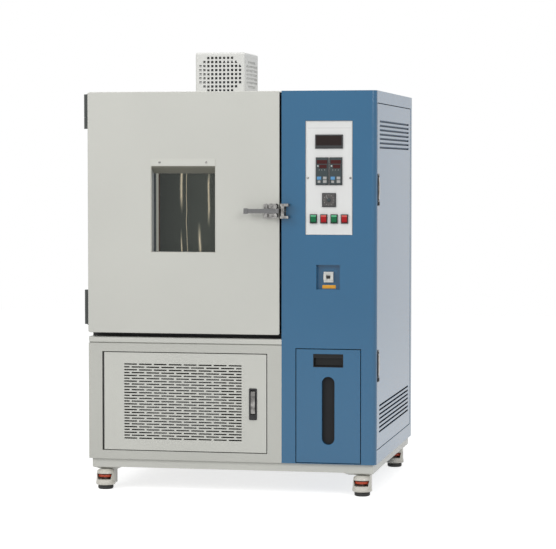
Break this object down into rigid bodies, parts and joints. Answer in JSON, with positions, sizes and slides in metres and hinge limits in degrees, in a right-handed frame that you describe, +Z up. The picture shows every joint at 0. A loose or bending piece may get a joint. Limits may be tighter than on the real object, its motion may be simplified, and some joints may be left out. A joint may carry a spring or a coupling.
{
  "type": "environmental test chamber",
  "caption": "Free-standing temperature and humidity test chamber: windowed insulated door over a vented machine room, beside a control tower on levelling casters.",
  "frame": {"origin": "middle of the floor area that the whole object covers, on the floor", "axes": "+Z up; -Y is the front with the door and the control panel; +X is the side with the control tower"},
  "size_m": [1.054, 0.925, 1.558],
  "materials": {
    "cream_paint": "satin",
    "blue_paint": "satin",
    "ivory_paint": "gloss",
    "stainless": "satin",
    "bright_chrome": "polished",
    "plate_white": "satin",
    "foam": "matte",
    "black_plastic": "matte",
    "dark_hinge": "satin",
    "black_rubber": "matte",
    "grey_rubber": "matte",
    "window_glass": "polished",
    "clear_strip": "gloss",
    "coil_aluminium": "satin",
    "motor_grey": "matte",
    "compressor_black": "gloss",
    "instrument_black": "gloss",
    "beige_plastic": "matte",
    "cap_green": "gloss",
    "cap_red": "gloss",
    "wheel_nylon": "matte",
    "foot_black": "matte",
    "tank_plastic": "matte"
  },
  "bodies": {
    "cabinet": {"air_baffle": "stainless", "air_coils": "coil_aluminium", "base_frame": "cream_paint", "breaker_body": "beige_plastic", "breaker_strip": "black_plastic", "button_bezels": "instrument_black", "cabinet_casing": "cream_paint", "chamber_foam": "foam", "chamber_liner": "stainless", "compressor": "compressor_black", "condenser": "coil_aluminium", "control_plate": "plate_white", "electrics_plate": "beige_plastic", "fan_motor": "motor_grey", "hinge_brackets": "dark_hinge", "latch_keeper": "bright_chrome", "lower_front_frame": "cream_paint", "motor_cover": "cream_paint", "panel_instruments": "instrument_black", "tower_casing": "blue_paint"},
    "door": {"door_shell": "cream_paint", "door_liner": "stainless", "door_foam": "foam", "door_gasket": "grey_rubber", "window_glazing": "window_glass", "window_frame": "cream_paint", "hinge_leaves": "dark_hinge", "latch_base": "bright_chrome"},
    "latch_lever": {"latch_lever": "bright_chrome"},
    "vent_door": {"vent_door": "cream_paint", "vent_latch_cup": "black_plastic"},
    "vent_latch_blade": {"vent_latch_blade": "bright_chrome"},
    "side_door": {"side_door": "blue_paint", "side_latch_cups": "black_plastic"},
    "side_latch_blade_upper": {"side_latch_blade_upper": "bright_chrome"},
    "side_latch_blade_lower": {"side_latch_blade_lower": "bright_chrome"},
    "drawer": {"drawer": "blue_paint", "drawer_pull": "black_plastic", "level_window": "clear_strip", "water_tank": "tank_plastic"},
    "breaker_toggle": {"breaker_toggle": "black_plastic"},
    "fan_wheel": {"fan_wheel": "stainless"},
    "condenser_fan": {"condenser_fan": "black_plastic"},
    "shelf": {"shelf": "stainless"},
    "button_cap_1": {"button_cap_1": "cap_green"},
    "button_cap_2": {"button_cap_2": "cap_red"},
    "button_cap_3": {"button_cap_3": "cap_green"},
    "button_cap_4": {"button_cap_4": "cap_red"},
    "caster_front_left": {"caster_housing_front_left": "ivory_paint"},
    "wheel_front_left": {"caster_wheel_front_left": "wheel_nylon"},
    "foot_front_left": {"caster_foot_front_left": "foot_black"},
    "caster_front_right": {"caster_housing_front_right": "ivory_paint"},
    "wheel_front_right": {"caster_wheel_front_right": "wheel_nylon"},
    "foot_front_right": {"caster_foot_front_right": "foot_black"},
    "caster_rear_left": {"caster_housing_rear_left": "ivory_paint"},
    "wheel_rear_left": {"caster_wheel_rear_left": "wheel_nylon"},
    "foot_rear_left": {"caster_foot_rear_left": "foot_black"},
    "caster_rear_right": {"caster_housing_rear_right": "ivory_paint"},
    "wheel_rear_right": {"caster_wheel_rear_right": "wheel_nylon"},
    "foot_rear_right": {"caster_foot_rear_right": "foot_black"}
  },
  "joints": [
    {"name": "door_hinge", "type": "hinge", "parent": "cabinet", "child": "door", "pos_m": [-0.515, -0.3655, 0.554], "axis": [0, 0, -1], "range_deg": [0, 150]},
    {"name": "latch_swing", "type": "hinge", "parent": "door", "child": "latch_lever", "pos_m": [0.1745, -0.4435, 0.982], "axis": [0, 0, 1], "range_deg": [0, 75]},
    {"name": "vent_door_hinge", "type": "hinge", "parent": "cabinet", "child": "vent_door", "pos_m": [-0.4395, -0.4095, 0.143], "axis": [0, 0, -1], "range_deg": [0, 100]},
    {"name": "vent_latch_pull", "type": "hinge", "parent": "vent_door", "child": "vent_latch_blade", "pos_m": [0.0905, -0.4145, 0.354], "axis": [-1, 0, 0], "range_deg": [0, 40]},
    {"name": "side_door_hinge", "type": "hinge", "parent": "cabinet", "child": "side_door", "pos_m": [0.512, 0.4185, 0.161], "axis": [0, 0, 1], "range_deg": [0, 90]},
    {"name": "side_latch_upper_pull", "type": "hinge", "parent": "side_door", "child": "side_latch_blade_upper", "pos_m": [0.518, -0.3775, 1.097], "axis": [0, -1, 0], "range_deg": [0, 40]},
    {"name": "side_latch_lower_pull", "type": "hinge", "parent": "side_door", "child": "side_latch_blade_lower", "pos_m": [0.518, -0.3775, 0.491], "axis": [0, -1, 0], "range_deg": [0, 40]},
    {"name": "drawer_slide", "type": "slide", "parent": "cabinet", "child": "drawer", "axis": [0, -1, 0], "range_m": [0, 0.3]},
    {"name": "breaker_toggle_throw", "type": "hinge", "parent": "cabinet", "child": "breaker_toggle", "pos_m": [0.3535, -0.4075, 0.755], "axis": [1, 0, 0], "range_deg": [0, 50]},
    {"name": "fan_spin", "type": "hinge", "parent": "cabinet", "child": "fan_wheel", "pos_m": [-0.154, 0.2505, 1.3945], "axis": [0, 0, 1], "continuous": true},
    {"name": "condenser_fan_spin", "type": "hinge", "parent": "cabinet", "child": "condenser_fan", "pos_m": [-0.192, -0.2675, 0.274], "axis": [0, 1, 0], "continuous": true},
    {"name": "shelf_slide", "type": "slide", "parent": "cabinet", "child": "shelf", "axis": [0, -1, 0], "range_m": [0, 0.03]},
    {"name": "button_1_press", "type": "slide", "parent": "cabinet", "child": "button_cap_1", "axis": [0, 1, 0], "range_m": [0, 0.003], "stiffness_N_per_m": 400, "springref_m": -0.002},
    {"name": "button_2_press", "type": "slide", "parent": "cabinet", "child": "button_cap_2", "axis": [0, 1, 0], "range_m": [0, 0.003], "stiffness_N_per_m": 400, "springref_m": -0.002},
    {"name": "button_3_press", "type": "slide", "parent": "cabinet", "child": "button_cap_3", "axis": [0, 1, 0], "range_m": [0, 0.003], "stiffness_N_per_m": 400, "springref_m": -0.002},
    {"name": "button_4_press", "type": "slide", "parent": "cabinet", "child": "button_cap_4", "axis": [0, 1, 0], "range_m": [0, 0.003], "stiffness_N_per_m": 400, "springref_m": -0.002},
    {"name": "caster_front_left_swivel", "type": "hinge", "parent": "cabinet", "child": "caster_front_left", "pos_m": [-0.447, -0.3655, 0.08], "axis": [0, 0, 1], "continuous": true},
    {"name": "wheel_front_left_roll", "type": "hinge", "parent": "caster_front_left", "child": "wheel_front_left", "pos_m": [-0.447, -0.3395, 0.025], "axis": [1, 0, 0], "continuous": true},
    {"name": "foot_front_left_screw", "type": "slide", "parent": "caster_front_left", "child": "foot_front_left", "axis": [0, 0, 1], "range_m": [-0.0079, 0.003]},
    {"name": "caster_front_right_swivel", "type": "hinge", "parent": "cabinet", "child": "caster_front_right", "pos_m": [0.469, -0.3655, 0.08], "axis": [0, 0, 1], "continuous": true},
    {"name": "wheel_front_right_roll", "type": "hinge", "parent": "caster_front_right", "child": "wheel_front_right", "pos_m": [0.469, -0.3395, 0.025], "axis": [1, 0, 0], "continuous": true},
    {"name": "foot_front_right_screw", "type": "slide", "parent": "caster_front_right", "child": "foot_front_right", "axis": [0, 0, 1], "range_m": [-0.0079, 0.003]},
    {"name": "caster_rear_left_swivel", "type": "hinge", "parent": "cabinet", "child": "caster_rear_left", "pos_m": [-0.447, 0.4105, 0.08], "axis": [0, 0, 1], "continuous": true},
    {"name": "wheel_rear_left_roll", "type": "hinge", "parent": "caster_rear_left", "child": "wheel_rear_left", "pos_m": [-0.447, 0.4365, 0.025], "axis": [1, 0, 0], "continuous": true},
    {"name": "foot_rear_left_screw", "type": "slide", "parent": "caster_rear_left", "child": "foot_rear_left", "axis": [0, 0, 1], "range_m": [-0.0079, 0.003]},
    {"name": "caster_rear_right_swivel", "type": "hinge", "parent": "cabinet", "child": "caster_rear_right", "pos_m": [0.469, 0.4105, 0.08], "axis": [0, 0, 1], "continuous": true},
    {"name": "wheel_rear_right_roll", "type": "hinge", "parent": "caster_rear_right", "child": "wheel_rear_right", "pos_m": [0.469, 0.4365, 0.025], "axis": [1, 0, 0], "continuous": true},
    {"name": "foot_rear_right_screw", "type": "slide", "parent": "caster_rear_right", "child": "foot_rear_right", "axis": [0, 0, 1], "range_m": [-0.0079, 0.003]}
  ]
}
